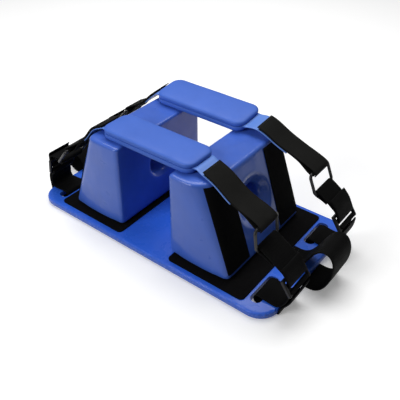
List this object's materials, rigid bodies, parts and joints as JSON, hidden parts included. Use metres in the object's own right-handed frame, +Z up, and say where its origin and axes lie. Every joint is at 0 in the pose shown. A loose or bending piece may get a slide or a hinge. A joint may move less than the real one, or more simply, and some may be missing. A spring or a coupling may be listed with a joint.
{
  "type": "head immobiliser for a spine board",
  "caption": "Head immobiliser: foam head blocks on a webbing-anchored base plate, with padded bars, adjusting straps, rings and ladder-lock buckles.",
  "frame": {"origin": "middle of the outline, on the underside plane that the base plate stands on", "axes": "+X along the base plate from the left block to the right block, +Y from the front bar to the rear bar, +Z up"},
  "size_m": [0.472, 0.215, 0.1507],
  "materials": {
    "plate_vinyl": "satin",
    "loop_pile": "matt",
    "board_strap_webbing": "matt",
    "block_foam": "satin",
    "hook_tape": "matt",
    "strap_tape": "matt",
    "ring_steel": "satin",
    "webbing": "matt",
    "buckle_plastic": "satin",
    "pad_foam": "satin",
    "pad_vinyl_edge": "satin"
  },
  "bodies": {
    "base": {"base_plate": "plate_vinyl", "left_loop_panel": "loop_pile", "left_board_strap": "board_strap_webbing", "left_front_vinyl_lap": "pad_vinyl_edge", "left_front_strap": "strap_tape", "left_front_ring": "ring_steel", "left_front_ring_webbing": "webbing", "left_front_anchor_webbing": "webbing", "left_rear_vinyl_lap": "pad_vinyl_edge", "left_rear_strap": "strap_tape", "left_rear_ring": "ring_steel", "left_rear_ring_webbing": "webbing", "left_rear_anchor_webbing": "webbing", "right_loop_panel": "loop_pile", "right_board_strap": "board_strap_webbing", "right_front_vinyl_lap": "pad_vinyl_edge", "right_front_strap": "strap_tape", "right_front_ring": "ring_steel", "right_front_ring_webbing": "webbing", "right_front_anchor_webbing": "webbing", "right_rear_vinyl_lap": "pad_vinyl_edge", "right_rear_strap": "strap_tape", "right_rear_ring": "ring_steel", "right_rear_ring_webbing": "webbing", "right_rear_anchor_webbing": "webbing", "front_pad_upper": "pad_foam", "front_pad_lower": "pad_foam", "front_pad_strip": "pad_vinyl_edge", "rear_pad_upper": "pad_foam", "rear_pad_lower": "pad_foam", "rear_pad_strip": "pad_vinyl_edge"},
    "left_block": {"left_head_block": "block_foam", "left_block_sole": "hook_tape", "left_block_front_strip": "hook_tape", "left_block_rear_strip": "hook_tape"},
    "left_front_flap": {"left_front_flap": "strap_tape"},
    "left_front_buckle": {"left_front_buckle": "buckle_plastic", "left_front_webbing_tail": "webbing"},
    "left_rear_flap": {"left_rear_flap": "strap_tape"},
    "left_rear_buckle": {"left_rear_buckle": "buckle_plastic", "left_rear_webbing_tail": "webbing"},
    "right_block": {"right_head_block": "block_foam", "right_block_sole": "hook_tape", "right_block_front_strip": "hook_tape", "right_block_rear_strip": "hook_tape"},
    "right_front_flap": {"right_front_flap": "strap_tape"},
    "right_front_buckle": {"right_front_buckle": "buckle_plastic", "right_front_webbing_tail": "webbing"},
    "right_rear_flap": {"right_rear_flap": "strap_tape"},
    "right_rear_buckle": {"right_rear_buckle": "buckle_plastic", "right_rear_webbing_tail": "webbing"}
  },
  "joints": [
    {"name": "left_block_slide", "type": "slide", "parent": "base", "child": "left_block", "axis": [1, 0, 0], "range_m": [-0.002, 0.025]},
    {"name": "right_block_slide", "type": "slide", "parent": "base", "child": "right_block", "axis": [1, 0, 0], "range_m": [-0.025, 0.002]},
    {"name": "left_front_flap_hinge", "type": "hinge", "parent": "base", "child": "left_front_flap", "pos_m": [-0.149, -0.064, 0.093], "axis": [0, -1, 0], "range_deg": [0, 75]},
    {"name": "left_rear_flap_hinge", "type": "hinge", "parent": "base", "child": "left_rear_flap", "pos_m": [-0.157, 0.064, 0.098], "axis": [0, -1, 0], "range_deg": [0, 75]},
    {"name": "right_front_flap_hinge", "type": "hinge", "parent": "base", "child": "right_front_flap", "pos_m": [0.1625, -0.064, 0.1125], "axis": [0, 1, 0], "range_deg": [0, 75]},
    {"name": "right_rear_flap_hinge", "type": "hinge", "parent": "base", "child": "right_rear_flap", "pos_m": [0.16, 0.064, 0.1145], "axis": [0, 1, 0], "range_deg": [0, 75]},
    {"name": "left_front_buckle_hinge", "type": "hinge", "parent": "base", "child": "left_front_buckle", "pos_m": [-0.193, -0.064, 0.042], "axis": [0, -1, 0], "range_deg": [0, 30]},
    {"name": "left_rear_buckle_hinge", "type": "hinge", "parent": "base", "child": "left_rear_buckle", "pos_m": [-0.205, 0.064, 0.042], "axis": [0, -1, 0], "range_deg": [0, 30]},
    {"name": "right_front_buckle_hinge", "type": "hinge", "parent": "base", "child": "right_front_buckle", "pos_m": [0.2135, -0.064, 0.043], "axis": [0, 1, 0], "range_deg": [0, 30]},
    {"name": "right_rear_buckle_hinge", "type": "hinge", "parent": "base", "child": "right_rear_buckle", "pos_m": [0.21, 0.064, 0.051], "axis": [0, 1, 0], "range_deg": [0, 30]}
  ]
}
